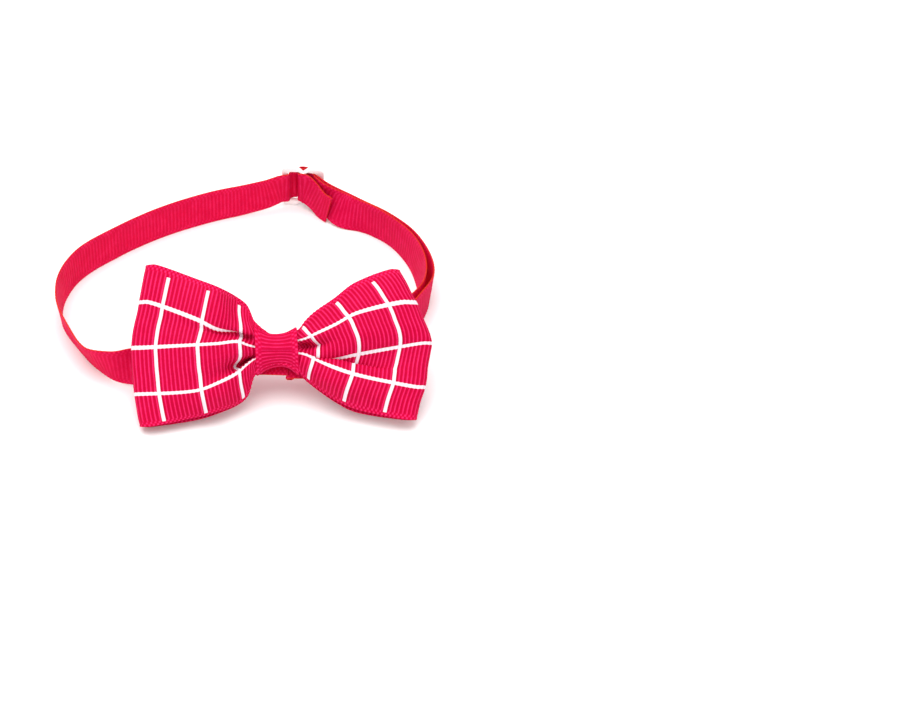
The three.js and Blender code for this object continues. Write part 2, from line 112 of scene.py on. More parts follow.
# The bow's folds, top edge first: place across the ribbon, then (height, depth) at each reach from the knot
# outwards, and (reach, height) at the wing's end. Heights and depths are in the bow's own plane.
REACHES = (4.7, 6.8, 9.0, 13.5, 18.0)
LEFT_FOLDS = [
    (19.0, 6.6, -0.3, 11.0, -2.2, 12.8, -3.0, 14.8, 2.0, 16.6, 0.9, 29.5, 19.9),
    (15.0, 5.0, 0.6, 7.6, 0.0, 9.4, -0.4, 11.2, 4.0, 12.8, 2.9, 30.3, 16.0),
    (12.3, 4.0, 1.1, 4.9, 1.6, 5.9, 1.7, 7.6, 4.3, 9.6, 3.6, 30.8, 13.3),
    (11.0, 3.5, 1.0, 3.9, 1.7, 4.4, 2.1, 5.7, 4.0, 8.0, 3.9, 31.05, 12.0),
    (10.0, 3.9, 0.2, 4.4, 0.6, 4.7, 1.3, 4.6, 3.4, 6.7, 4.0, 31.2, 11.0),
    (8.0, 3.3, -0.4, 3.5, -0.2, 3.8, 0.7, 4.1, 2.6, 5.3, 3.4, 31.6, 9.0),
    (5.5, 2.5, -0.1, 2.8, 0.3, 3.2, 1.3, 3.4, 3.0, 3.9, 3.6, 32.2, 6.5),
    (3.0, 1.7, 0.7, 2.2, 1.3, 2.7, 2.4, 2.7, 3.8, 2.6, 4.2, 32.6, 3.9),
    (0.0, 0.9, 1.1, 1.4, 2.0, 2.1, 3.2, 1.6, 4.2, 1.3, 4.6, 32.9, 0.7),
    (-2.5, -0.6, 0.6, -1.0, 1.8, -1.4, 3.0, -1.6, 4.1, -1.8, 4.4, 32.8, -2.0),
    (-4.5, -1.0, -1.2, -1.6, -1.7, -2.9, -0.8, -3.5, 3.5, -4.0, 4.1, 32.7, -4.1),
    (-6.5, -1.3, -1.4, -2.3, -1.9, -3.7, -1.0, -4.9, 2.9, -5.9, 3.7, 32.5, -6.3),
    (-8.5, -1.4, 0.2, -2.7, 0.1, -4.3, 0.5, -6.2, 2.8, -7.7, 3.5, 32.35, -8.3),
    (-10.0, -1.7, 1.2, -3.1, 2.0, -5.0, 2.3, -7.4, 3.5, -9.0, 3.5, 32.2, -9.7),
    (-13.0, -2.8, 1.2, -5.6, 1.5, -8.0, 1.5, -9.9, 3.4, -11.3, 3.1, 31.8, -12.4),
    (-16.0, -3.8, 0.5, -8.3, 0.4, -10.4, 0.2, -11.9, 2.2, -13.4, 1.9, 31.4, -14.9),
    (-19.0, -5.2, -0.4, -10.2, -1.0, -12.0, -1.4, -13.8, 0.8, -15.0, 0.6, 30.9, -17.2),
]
RIGHT_FOLDS = [
    (19.0, 4.8, -0.3, 7.2, -0.5, 9.2, -0.4, 12.4, 0.1, 15.8, 0.6, 28.3, 18.9),
    (15.0, 3.8, 0.8, 5.4, 1.3, 6.8, 1.6, 9.6, 2.2, 12.5, 2.4, 30.0, 15.8),
    (12.0, 3.2, 1.3, 3.9, 2.2, 5.1, 3.0, 7.4, 3.4, 10.0, 3.6, 31.3, 13.0),
    (10.0, 2.3, 1.2, 2.8, 2.2, 3.7, 3.4, 5.7, 4.0, 8.1, 4.2, 32.5, 10.8),
    (8.4, 1.9, 0.6, 2.3, 1.4, 2.6, 2.8, 4.4, 4.1, 6.6, 4.5, 33.3, 9.0),
    (7.0, 1.6, -0.4, 1.9, -0.6, 1.9, 1.2, 3.3, 3.8, 5.2, 4.6, 33.9, 7.3),
    (5.6, 0.8, -0.8, 0.9, -1.2, 1.2, 0.2, 2.3, 3.4, 3.9, 4.6, 34.5, 6.0),
    (4.0, 0.4, 0.1, 0.3, 0.2, 0.4, 1.6, 1.2, 3.3, 2.5, 4.4, 35.1, 4.6),
    (2.0, 0.0, 0.7, -0.4, 1.0, -1.0, 1.8, -0.4, 2.9, 0.7, 3.6, 35.6, 3.1),
    (0.0, -0.3, 0.2, -1.0, 0.3, -2.2, 1.0, -1.9, 1.5, -1.0, 2.4, 35.8, 1.7),
    (-2.2, -0.6, -0.5, -1.4, -0.5, -2.8, 0.0, -2.6, 0.6, -2.8, 1.4, 35.4, -0.5),
    (-5.0, -0.6, -0.6, -1.3, -1.0, -2.8, -0.9, -3.0, 0.4, -4.2, 1.0, 34.9, -3.3),
    (-7.6, -0.2, 0.4, -0.5, 0.3, -1.6, 0.4, -1.9, 1.8, -3.0, 2.2, 34.6, -6.0),
    (-8.8, -0.2, 1.0, -0.5, 1.2, -1.6, 1.6, -2.6, 3.0, -4.2, 3.0, 34.4, -7.2),
    (-10.0, -0.5, 1.2, -1.0, 1.9, -2.1, 2.5, -4.1, 3.4, -5.6, 3.5, 34.2, -8.4),
    (-14.0, -2.3, 0.9, -3.4, 2.0, -5.2, 2.6, -7.5, 3.6, -8.9, 3.6, 33.0, -11.9),
    (-19.0, -4.6, -0.4, -6.5, -0.4, -8.2, -0.4, -11.3, 0.0, -13.4, 0.4, 32.1, -16.0),
]
FOLD_RADIUS = 1.9
RIGHT_FOLD_OPENS = 1.5  # the right fold is this much rounder halfway up its upper half
# The rear layer is plain: at each reach its depth at the edges, its extra depth in the middle, and how far
# it hangs below the front.
REAR = ((1.0, 0.0, 0.0), (1.7, 0.9, 0.2), (2.1, 1.5, 0.3), (2.0, 2.2, 0.4), (1.7, 2.6, 0.6))
PINCH = {"front": 0.9, "rear": -1.0, "waist": 0.62, "fold_share": 0.55}

# How finely a ribbon is cut up: stations to a rib along it, cells across it, and the width of its round rim.
STATIONS_PER_RIB = 5
BOW_CELLS, KNOT_CELLS, STRAP_CELLS = 46, 14, 8
BOW_RIM, NARROW_RIM = 0.16, 0.14
KNOT_STATIONS = 240
KNOT_RIBS, STRAP_RIBS = 0.8, 0.4  # size of the knot's ribs and height of the strap's, to the bow's

# The printed grid's blank margins, and how far its middle line lies above the ribbon's middle.
TOP_MARGIN, BOTTOM_MARGIN, LINE_OFFSET = 2.2, 1.0, 0.1
LIGHT_SHARE = 0.3  # how much of a ribbon's look is light that has come through it

# Camera: distance from the middle of the layout, lens, and turns to the right and down from there.
CAMERA = {"distance": 505.3, "lens": 80.9, "right": 5.79, "down": 1.92}
# Each softbox: place and side in metres, and power as a share of the main one's setting.
SOFTBOXES = {
    "softbox_top": ((-0.05, -0.03, 0.55), 0.5, 1.5),
    "softbox_left": ((-0.40, -0.32, 0.35), 0.35, 0.2),
    "softbox_right": ((0.36, -0.36, 0.35), 0.35, 0.1),
}

# ------------ curves


def between(start, start_slope, end, end_slope, t):
    """The cubic curve between two rows with those slopes, at t from 0 to 1."""
    return ((2 * t**3 - 3 * t**2 + 1) * start + (t**3 - 2 * t**2 + t) * start_slope
            + (3 * t**2 - 2 * t**3) * end + (t**3 - t**2) * end_slope)


def smooth_rows(rows, closed=False, cells=40):
    """A dense smooth curve through rows whose first three columns are a point. Spans are spaced by the square
    root of their length, which keeps the curve from overshooting where rows are close together."""
    rows = np.asarray(rows, float)
    if closed:
        rows = np.vstack([rows[-1:], rows, rows[:2]])
    widths = np.sqrt(np.linalg.norm(np.diff(rows[:, :3], axis=0), axis=1))[:, None]
    steps = np.diff(rows, axis=0) / widths
    inner = (steps[:-1] * widths[1:] + steps[1:] * widths[:-1]) / (widths[:-1] + widths[1:])
    slopes = np.vstack([steps[:1], inner, steps[-1:]])
    spans = range(1, len(rows) - 2) if closed else range(len(rows) - 1)
    t = np.linspace(0, 1, cells, endpoint=False)[:, None]
    parts = [between(rows[i], widths[i] * slopes[i], rows[i + 1], widths[i] * slopes[i + 1], t)
             for i in spans]
    return np.vstack([*parts, parts[0][:1] if closed else rows[-1:]])


def unit(vectors):
    """The vectors of an array, each with length 1."""
    return vectors / np.linalg.norm(vectors, axis=-1, keepdims=True)


def run_length(points):
    """Distance along a line of points, from its first one."""
    return np.concatenate([[0], np.cumsum(np.linalg.norm(np.diff(points[:, :3], axis=0), axis=1))])


def at_lengths(points, lengths):
    """The line's points at those distances from its first one."""
    run = run_length(points)
    return np.stack([np.interp(lengths, run, column) for column in points.T], axis=1)


def table_at(rows, places):
    """Every column of a table at places along its first column, on a smooth curve through its rows."""
    rows = np.asarray(sorted(rows), float)
    x = rows[:, 0]
    slopes = np.gradient(rows, axis=0) / np.gradient(x)[:, None]
    slopes[1:-1] = (rows[2:] - rows[:-2]) / (x[2:] - x[:-2])[:, None]
    i = np.clip(np.searchsorted(x, places, side="right") - 1, 0, len(x) - 2)
    width = (x[i + 1] - x[i])[:, None]
    t = (places - x[i])[:, None] / width
    return between(rows[i], width * slopes[i], rows[i + 1], width * slopes[i + 1], t)


# ------------ frames of the bow and the slide

_recline = math.radians(RECLINE)
BOW_RIGHT = np.array([1.0, 0.0, 0.0])
BOW_UP = np.array([0.0, math.sin(_recline), math.cos(_recline)])
BOW_FRONT = np.array([0.0, -math.cos(_recline), math.sin(_recline)])


def on_bow(right, up, front):
    """Points in the bow's own plane, as layout points."""
    return (BOW_CENTRE + np.multiply.outer(right, BOW_RIGHT) + np.multiply.outer(up, BOW_UP)
            + np.multiply.outer(front, BOW_FRONT))


_yaw, _lean = math.radians(SLIDE_YAW), math.radians(SLIDE_LEAN)
SLIDE_ALONG = np.array([math.cos(_yaw), math.sin(_yaw), 0.0])
_level_out = np.array([-math.sin(_yaw), math.cos(_yaw), 0.0])
SLIDE_UP = _level_out * math.sin(_lean) + np.array([0.0, 0.0, math.cos(_lean)])
SLIDE_OUT = np.cross(SLIDE_UP, SLIDE_ALONG)
SLIDE_CENTRE = np.array([SLIDE_X, SLIDE_Y + SLIDE_BACK, SLIDE["height"] / 2 * math.cos(_lean)
                         + SLIDE["thickness"] / 2 * abs(math.sin(_lean))])


def on_slide(along, out, up=0.0):
    """A point in the slide's own plane, as a layout point."""
    return SLIDE_CENTRE + along * SLIDE_ALONG + out * SLIDE_OUT + up * SLIDE_UP


# ------------ the strap's route


def standing_rows(table, before, after, width):
    """Rows of the strap where it stands on its edge: point, then direction across."""
    plan = np.array([before[:2], *[row[:2] for row in table], after[:2]], float)
    rows = []
    for i, (x, y, lift, lean) in enumerate(table):
        along = plan[i + 2] - plan[i]
        out = unit(np.array([-along[1], along[0]]))
        if out @ (x, y) < 0:
            out = -out
        tilt = math.radians(lean)
        across = (out[0] * math.sin(tilt), out[1] * math.sin(tilt), math.cos(tilt))
        rows.append((x, y, lift + width / 2 * across[2], *across))
    return rows


def corner_turn(corner, radius, start, end):
    """Three points round a corner of a bar, in the slide's plane."""
    return [(corner[0] + radius * math.cos(a), corner[1] + radius * math.sin(a))
            for a in np.radians((start, (start + end) / 2, end))]


def strap_rows(width):
    """The strap's whole route, from behind the knot to the tab at the slide."""
    behind = -(KNOT["depth"] + BEHIND_KNOT)
    turn, low, radius = 3.0, -1.45, PLY / 2  # the turn behind the knot, a little low
    face, mid_bar = SLIDE["thickness"] / 2, SLIDE["bar"] / 2
    end_bar, first = mid_bar + SLIDE["slot"], FIRST_PLY
    second = first + PLY
    raised = 0.25  # the strap rides a little high in the slots

    lean = math.radians(20)  # behind the knot the strap's upper edge leans back
    knot_way = BOW_UP * math.cos(lean) - BOW_FRONT * math.sin(lean)

    def bow(points):
        return [(*on_bow(*point), *knot_way) for point in points]

    def slide(points, way=SLIDE_UP):
        return [(*on_slide(along, out, raised + sum(up)), *way) for along, out, *up in points]

    start = bow([(2.7, -0.75, behind), (-5, -0.6, behind)])
    through = slide([
        (-5.7, -face - first - 0.6, -0.5),
        *[(*point, -0.5) for point in corner_turn((-end_bar, -face), first, -75, 0)],
        (-end_bar + 0.9, face - 0.1, -0.62), (-end_bar + 1.5, face + 0.15, -0.64),
        *[(*point, -0.6) for point in corner_turn((-mid_bar, face), second, 165, 90)],
        *corner_turn((mid_bar, face), second, 90, -25),
        *corner_turn((end_bar, -face), first, 200, 245), (5.4, -2.3),
    ])
    half_turn = [(turn + radius * (1 - math.sin(a)), low, behind - radius * (1 - math.cos(a)))
                 for a in np.radians((0, 45, 90, 135, 180))]
    knot_turn = bow([(7.4, low, behind), *half_turn, (6.4, low, behind - PLY)])
    end = slide([
        (5.0, -2.9), *corner_turn((end_bar, -face), second, 245, 190),
        *corner_turn((mid_bar, face), first, -10, 90), *corner_turn((-mid_bar, face), first, 90, 180),
        *corner_turn((-mid_bar, -face), first, 180, 265),
    ])
    tab = slide([(0.7, -face - 0.75), (2.7, -2.7, -0.6), (5.1, -4.9, -1.6), (7.3, -6.9, -2.1)],
                way=(-0.05, 0.0, 1.0))
    knot_spot = on_bow(0, 0, behind)
    return np.array([
        *start, *standing_rows(LEFT_SIDE, knot_spot, SLIDE_CENTRE, width), *through,
        *standing_rows(RIGHT_SIDE_OUTER, SLIDE_CENTRE, knot_spot, width), *knot_turn,
        *standing_rows(RIGHT_SIDE_INNER, knot_spot, SLIDE_CENTRE, width), *end, *tab,
    ])


# ------------ ribbons as closed shells


def across_places(width, cells, rim):
    """Places across a ribbon of that width, closer together at its woven edges."""
    inner = np.linspace(-width / 2 + 4 * rim, width / 2 - 4 * rim, cells + 1)
    edge = width / 2 - rim * np.array([0, 0.35, 1, 1.9, 2.9])
    return np.concatenate([-edge, inner, edge[::-1]])


def ribbon_shell(name, sheet, along, across, thickness, rim, closed):
    """Gives a sheet of layout points (stations, places, 3) its thickness, as a closed mesh in the row frame.
    It stores along and across in metres, and face: 1 on the right side, -1 on the wrong one, 0 on the rim."""
    rim_floor, rim_end = 0.06, 0.2  # how thick the rim ends, and how far in it counts as the rim
    forward = np.roll(sheet, -1, axis=0) - np.roll(sheet, 1, axis=0) if closed else np.gradient(sheet, axis=0)
    normal = unit(np.cross(forward, np.gradient(sheet, axis=1)))
    inset = np.clip((np.abs(across[-1]) - np.abs(across)) / (2 * rim), 0, 1)
    half = thickness / 2 * np.sqrt(np.clip(1 - (1 - inset) ** 2, rim_floor, 1))[None, :, None]
    ring = np.concatenate([sheet + half * normal, (sheet - half * normal)[:, ::-1]], axis=1)
    stations, sides = ring.shape[:2]
    index = np.arange(stations * sides).reshape(stations, sides)
    here, there = (index, np.roll(index, -1, axis=0)) if closed else (index[:-1], index[1:])
    quads = np.stack([here, np.roll(here, -1, axis=1), np.roll(there, -1, axis=1), there], axis=-1)
    faces = quads.reshape(-1, 4).tolist()
    if not closed:
        for row, flip in ((index[0], True), (index[-1], False)):
            cap = [[row[j], row[j + 1], row[-2 - j], row[-1 - j]] for j in range(len(across) - 1)]
            faces += [quad[::-1] for quad in cap] if flip else cap
    mesh = bpy.data.meshes.new(name)
    mesh.from_pydata(placed(ring.reshape(-1, 3)).tolist(), [], faces)
    edge_flag = np.where(inset > rim_end, 1.0, 0.0)
    values = {
        "along": np.repeat(along[:, None] * MM, sides, axis=1),
        "across": np.tile(np.concatenate([across, across[::-1]]) * MM, (stations, 1)),
        "face": np.tile(np.concatenate([edge_flag, -edge_flag[::-1]]), (stations, 1)),
    }
    for key, value in values.items():
        attribute = mesh.attributes.new(key, "FLOAT", "POINT")
        attribute.data.foreach_set("value", value.reshape(-1).astype(np.float32))
    mesh.validate()
    return finished_object(name, mesh)


def finished_object(name, mesh):
    """A smooth-shaded object with outward faces, linked to the scene."""
    co = np.empty(len(mesh.vertices) * 3)
    mesh.vertices.foreach_get("co", co)
    co = co.reshape(-1, 3)
    mesh.calc_loop_triangles()
    triangles = np.empty(len(mesh.loop_triangles) * 3, int)
    mesh.loop_triangles.foreach_get("vertices", triangles)
    a, b, c = co[triangles.reshape(-1, 3)].transpose(1, 0, 2)
    if np.einsum("ij,ij->", a, np.cross(b, c)) < 0:
        mesh.flip_normals()
    mesh.shade_smooth()
    piece = bpy.data.objects.new(name, mesh)
    bpy.context.scene.collection.objects.link(piece)
    return piece


def plate_mesh(name, loops, half, rounding):
    """A flat plate with rounded edges in the slide's plane, from closed loops that keep the plastic on their
    left: the outline, then the openings."""
    profile = [(rounding * (1 - math.cos(a)), half - rounding * (1 - math.sin(a)))
               for a in np.radians((90, 60, 30, 0))]
    profile += [(inset, -depth) for inset, depth in reversed(profile)]
    points, faces, caps, front, back, edges = [], [], [], [], [], []
    for loop in loops:
        loop = np.array(loop, float)
        before, after = unit(loop - np.roll(loop, 1, axis=0)), unit(np.roll(loop, -1, axis=0) - loop)
        miter = (before + after) / (1 + (before * after).sum(1, keepdims=True))
        inwards = np.stack([-miter[:, 1], miter[:, 0]], axis=1)
        first, start, count = len(points), len(front), len(loop)
        for inset, depth in profile:
            points += [on_slide(along, depth, up) for along, up in loop + inset * inwards]
        for ring in range(first, len(points) - count, count):
            faces += [(ring + j, ring + (j + 1) % count, ring + count + (j + 1) % count, ring + count + j)
                      for j in range(count)]
        front += range(first, first + count)
        back += range(len(points) - count, len(points))
        edges += [(start + j, start + (j + 1) % count) for j in range(count)]
        caps.append(loop + profile[0][0] * inwards)
    # The two flat sides: one filling, used again in reverse on the other side.
    flat = np.concatenate(caps)
    _, _, triangles, origin, _, _ = delaunay_2d_cdt([Vector(point) for point in flat], edges,
                                                    [list(range(len(loops[0])))], 1, 0.00001)
    for triangle in triangles:
        a, b, c = (origin[i][0] for i in triangle)
        middle = flat[[a, b, c]].mean(axis=0)
        if any(np.all(np.cross(np.roll(cap, -1, axis=0) - cap, middle - cap) < 0) for cap in caps[1:]):
            continue  # it lies in an opening
        faces += [(front[c], front[b], front[a]), (back[a], back[b], back[c])]
    mesh = bpy.data.meshes.new(name)
    mesh.from_pydata([tuple(point) for point in placed(points)], [], faces)
    return mesh


def wing_sections(side, table, across):
    """Sections of one wing at each place across the ribbon: (places, sections, 3) in the bow's plane, from
    the knot along the front to the fold and back along the rear."""
    fold = table_at(table, across)
    share = across / across.max()
    one = np.ones_like(across)
    front, rear = [], []
    for i, (reach, (edge, middle, drop)) in enumerate(zip(REACHES, REAR)):
        height, depth = fold[:, 1 + 2 * i], fold[:, 2 + 2 * i]
        if i == 0:
            depth = PINCH["front"] + PINCH["fold_share"] * depth
        front.append((reach * one, height, depth))
        even = share * np.where(share > 0, table[0][1 + 2 * i], -table[-1][1 + 2 * i])
        rear.append((reach * one, even - drop, -edge - middle * (1 - share**2)))
    rounder = 4 * np.clip(share, 0, 1) * (1 - share)
    radius = FOLD_RADIUS + (RIGHT_FOLD_OPENS if side > 0 else 0) * rounder
    arc = [(fold[:, -2] - radius * (1 - math.sin(a)), fold[:, -1], radius * math.cos(a))
           for a in np.radians((0, 30, 60, 90, 120, 150, 180))]
    points = np.stack([np.stack(s, axis=-1) for s in [*front, *arc, *rear[::-1]]], axis=1)
    points[..., 0] *= side
    return points


def bow_sheet(across, step, left_line, right_line, pitch):
    """The bow's loop as a grid of layout points, and the place along the ribbon of each station. Distances
    are true from each wing's fold inwards; what is left over is taken up in the pinch, under the knot. The
    printed lines fall left_line and right_line from the folds."""
    edge_lines, pinch_reach = 12, 0.5  # lines left out of the mean length, and where taking up starts
    right = wing_sections(1, RIGHT_FOLDS, across)
    left = wing_sections(-1, LEFT_FOLDS, across)[:, ::-1]
    waist = PINCH["waist"] * 0.5 * (right[:, 0, 1] + left[:, -1, 1])
    front, rear = [np.stack([0 * waist, waist, PINCH[layer] + 0 * waist], axis=-1)[:, None]
                   for layer in ("front", "rear")]
    cells, fold = 30, len(REACHES) + 3
    # From the left fold along the front to the right fold, and back along the rear.
    rows = np.concatenate([left[:, fold:], front, right, rear, left[:, :fold]], axis=1)
    knot_left, knot_right, half = fold * cells, (fold + 2) * cells, 2 * (fold + 1) * cells
    lines = [smooth_rows(place, closed=True, cells=cells) for place in rows]
    halves = []
    for cut in (slice(half + 1), slice(None, half - 1, -1)):
        parts = [line[cut] for line in lines]
        mean = np.mean([run_length(part)[-1] for part in parts[edge_lines:-edge_lines]])
        nominal = round(mean / step) * step
        stations = np.arange(0, nominal + step / 2, step)
        grid = []
        for part in parts:
            run = run_length(part)
            near, far = run[knot_left] - pinch_reach, run[-1] - run[knot_right] - pinch_reach
            lengths = np.interp(stations, [0, near, nominal - far, nominal],
                                [0, near, run[-1] - far, run[-1]])
            grid.append(at_lengths(part, lengths))
        total = left_line + right_line + pitch * round((nominal - left_line - right_line) / pitch)
        along = np.where(stations < nominal / 2, stations, stations - nominal + total)
        halves.append((np.stack(grid, axis=1), along, total))
    (face, along, total), (back, back_along, back_total) = halves
    grid = np.concatenate([face, back[::-1][1:-1]])
    past = np.where(back_along < back_total / 2, -back_along, total + back_total - back_along)
    return on_bow(grid[..., 0], grid[..., 1], grid[..., 2]), np.concatenate([along, past[::-1][1:-1]])


# ------------ nodes and materials


def linear(code):
    """sRGB hex to linear colour with alpha."""
    values = [int(code[i:i + 2], 16) / 255 for i in (1, 3, 5)]
    return (*[v / 12.92 if v <= 0.04045 else ((v + 0.055) / 1.055) ** 2.4 for v in values], 1.0)


def add_node(tree, kind, inputs=(), **settings):
    """Adds a node with its settings. inputs are values, nodes or sockets, in order or by the socket's name or
    number."""
    node = tree.nodes.new(kind)
    for key, value in settings.items():
        setattr(node, key, value)
    for key, value in (inputs if isinstance(inputs, dict) else dict(enumerate(inputs))).items():
        if isinstance(value, bpy.types.Node):
            value = next(output for output in value.outputs if output.enabled)
        if isinstance(value, bpy.types.NodeSocket):
            tree.links.new(value, node.inputs[key])
        else:
            node.inputs[key].default_value = value
    return node


def new_material(name):
    """An empty material, and add_node for its tree."""
    material = bpy.data.materials.new(name)
    material.use_nodes = True
    material.node_tree.nodes.clear()
    return material, partial(add_node, material.node_tree)


def rib_pattern(add, along, across, half_width, pitch, edge):
    """Nodes for the surface of grosgrain, used alike by its shape and by the painted highlight and shade of
    its colour: the height of the weave, from 0 in the grooves to 1 on the cords."""
    sharpness, stitch_height, stitch_middle = 3.0, 0.65, 0.6
    turns = add(MATH, (along, pitch), operation="DIVIDE")
    phase = add(MATH, (turns, math.pi), operation="MULTIPLY")
    wave = add(MATH, (phase,), operation="COSINE")
    crest = add(MATH, (wave,), operation="ABSOLUTE")
    cord = add(MATH, (crest, sharpness), operation="POWER")
    reach = add(MATH, (across,), operation="ABSOLUTE")
    inset = add(MATH, (half_width, reach), operation="SUBTRACT")
    share = add(MATH, (inset, edge), operation="DIVIDE")
    body = add("ShaderNodeMapRange", {"Value": share, "From Min": 0.85, "From Max": 1.15})
    # The edge has two rows of small stitches, the second row half a step on from the first.
    steps = add(MATH, (phase, 2.0), operation="MULTIPLY")
    step_wave = add(MATH, (steps,), operation="SINE")
    rows = add(MATH, (share, 2 * math.pi), operation="MULTIPLY")
    row_wave = add(MATH, (rows,), operation="SINE")
    stitches = add(MATH, (step_wave, row_wave), operation="MULTIPLY")
    stitch = add(MATH, (stitches, stitch_height, stitch_middle), operation="MULTIPLY_ADD")
    return add("ShaderNodeMix", {0: body, 2: stitch, 3: cord}, data_type="FLOAT").outputs[0]


def grosgrain_tree():
    """Raises the ribs of a grosgrain ribbon on a shell, and the stitches of its woven edges."""
    tree = bpy.data.node_groups.new("Grosgrain Ribs", "GeometryNodeTree")
    add = partial(add_node, tree)
    tree.interface.new_socket("Geometry", in_out="INPUT", socket_type="NodeSocketGeometry")
    for name, default in (("Half Width", 0.005), ("Rib Pitch", 0.00097), ("Rib Height", 0.00014),
                          ("Edge Width", 0.0013), ("Ripple", 0.00008)):
        socket = tree.interface.new_socket(name, in_out="INPUT", socket_type="NodeSocketFloat")
        socket.subtype = "DISTANCE"
        socket.default_value = default
    tree.interface.new_socket("Material", in_out="INPUT", socket_type="NodeSocketMaterial")
    tree.interface.new_socket("Geometry", in_out="OUTPUT", socket_type="NodeSocketGeometry")
    given = add("NodeGroupInput").outputs
    along, across, face = [add("GeometryNodeInputNamedAttribute", {"Name": name}, data_type="FLOAT")
                           for name in ("along", "across", "face")]
    height = rib_pattern(add, along, across, given["Half Width"], given["Rib Pitch"], given["Edge Width"])
    centred = add(MATH, (height, 0.5), operation="SUBTRACT")
    raised = add(MATH, (centred, given["Rib Height"]), operation="MULTIPLY")
    side = add(MATH, (face,), operation="ABSOLUTE")
    relief = add(MATH, (raised, side), operation="MULTIPLY")
    # Ripple: the slow unevenness of handled ribbon, in waves of about 8 mm. It moves both faces together.
    noise = add("ShaderNodeTexNoise", {"Scale": 0.13 * PER_MM, "Detail": 1.0}, noise_dimensions="3D")
    uneven = add(MATH, (noise.outputs[0], 0.5), operation="SUBTRACT")
    swell = add(MATH, (uneven, given["Ripple"]), operation="MULTIPLY")
    sway = add(MATH, (swell, face), operation="MULTIPLY")
    lift = add(MATH, (relief, sway), operation="ADD")
    normal = add("GeometryNodeInputNormal")
    offset = add("ShaderNodeVectorMath", {0: normal.outputs[0], "Scale": lift}, operation="SCALE")
    moved = add("GeometryNodeSetPosition", {"Geometry": given["Geometry"], "Offset": offset})
    real = add("GeometryNodeRealizeInstances", {"Geometry": moved})
    coloured = add("GeometryNodeSetMaterial", {"Geometry": real, "Material": given["Material"]})
    add("NodeGroupOutput", {"Geometry": coloured})
    return tree


def woven(piece, material, settings, rib_height, ripple):
    """Runs the grosgrain tree on a shell and keeps the result as a plain mesh."""
    tree = bpy.data.node_groups.get("Grosgrain Ribs") or grosgrain_tree()
    modifier = piece.modifiers.new("Grosgrain", "NODES")
    modifier.node_group = tree
    values = {"Half Width": settings["half_width"], "Rib Pitch": settings["rib_pitch"],
              "Edge Width": settings["edge_width"], "Rib Height": rib_height, "Ripple": ripple,
              "Material": material}
    for item in tree.interface.items_tree:
        if item.in_out == "INPUT" and item.name in values:
            modifier[item.identifier] = values[item.name]
    bpy.context.view_layer.update()
    depsgraph = bpy.context.evaluated_depsgraph_get()
    mesh = bpy.data.meshes.new_from_object(piece.evaluated_get(depsgraph), preserve_all_data_layers=True,
                                           depsgraph=depsgraph)
    piece.modifiers.remove(modifier)
    mesh.name = piece.name
    piece.data = mesh
    mesh.shade_smooth()


def grosgrain_material(name, settings, printed=False):
    """Polyester grosgrain. The cords get a painted highlight along their crests and painted shade, deep red,
    in the grooves between them, and the rows of small stitches on the flat woven edge get the same painted
    highlight. The whole is softly satin, not shiny."""
    material, add = new_material(name)
    along, across, face = [add("ShaderNodeAttribute", attribute_name=key).outputs["Fac"]
                           for key in ("along", "across", "face")]
    place = add("ShaderNodeTexCoord").outputs["Object"]
    height = rib_pattern(add, along, across, settings["half_width"], settings["rib_pitch"],
                         settings["edge_width"])
    # Yarns of about 0.2 mm show as a faint uneven grain over the ribs, and the dye varies every 2 mm or so.
    grain = add("ShaderNodeTexNoise", {"Vector": place, "Scale": 2.6 * PER_MM, "Detail": 2.0}).outputs[0]
    patch = add("ShaderNodeTexNoise", {"Vector": place, "Scale": 0.42 * PER_MM, "Detail": 2.0}).outputs[0]
    uneven = add(MATH, (grain, patch), operation="ADD")
    # Painted highlight and shade: the ramp lightens the crests of the ribs and darkens the grooves, as light
    # and shade would fall on the relief. The grain and patches mixed in are uneven dye.
    rib_shading = settings["rib_shading"]
    softened = add(MATH, (height, rib_shading, 0.7 * (1 - rib_shading)), operation="MULTIPLY_ADD")
    mottled = add(MATH, (uneven, 0.4, softened), operation="MULTIPLY_ADD")
    shade = add(MATH, (mottled, 0.4), operation="SUBTRACT", use_clamp=True)
    dye_and_rib_shading = add("ShaderNodeValToRGB", {"Fac": shade})
    stops = dye_and_rib_shading.color_ramp.elements
    stops.new(0.6)
    for stop, key in zip(stops, ("groove", "colour", "crest")):
        stop.color = linear(settings[key])
    # Painted glow: the rim's warmer colour stands in for light that comes through the cut edge and is warmed
    # by the yarn's dye.
    rim = add(MATH, (face,), operation="ABSOLUTE")
    base = add("ShaderNodeMix", {0: rim, 6: linear(settings["rim"]), 7: dye_and_rib_shading}, data_type="RGBA").outputs[2]
    rough = add("ShaderNodeMapRange", {"Value": grain, "To Min": 0.50, "To Max": 0.68}).outputs[0]
    yarn_pitch = 0.32 * MM
    yarns = add(MATH, (across, 2 * math.pi / yarn_pitch), operation="MULTIPLY")
    yarn = add(MATH, (yarns,), operation="SINE")
    weave = add(MATH, (yarn, 0.3, grain), operation="MULTIPLY_ADD")
    bump = add("ShaderNodeBump", {"Height": weave, "Strength": 0.25, "Distance": 0.05 * MM})
    light_share = LIGHT_SHARE
    if printed:
        base, rough, ink = printed_grid(add, settings, along, across, face, base, rough, grain, height)
        light_share = add(MATH, (ink, -LIGHT_SHARE, LIGHT_SHARE), operation="MULTIPLY_ADD")
    shader = add("ShaderNodeBsdfPrincipled", {
        "Base Color": base, "Roughness": rough, "Normal": bump, "IOR": 1.5, "Specular IOR Level": 0.06,
        "Sheen Weight": 0.04, "Sheen Roughness": 0.4, "Sheen Tint": linear("#ff7aa8"),
    })
    # Thin dyed cloth lets some red light through, so folds and gaps glow instead of going black.
    through = add("ShaderNodeBsdfTranslucent", {"Color": linear(settings["through"])})
    cloth = add("ShaderNodeMixShader", (light_share, shader, through))
    add("ShaderNodeOutputMaterial", {"Surface": cloth})
    return material


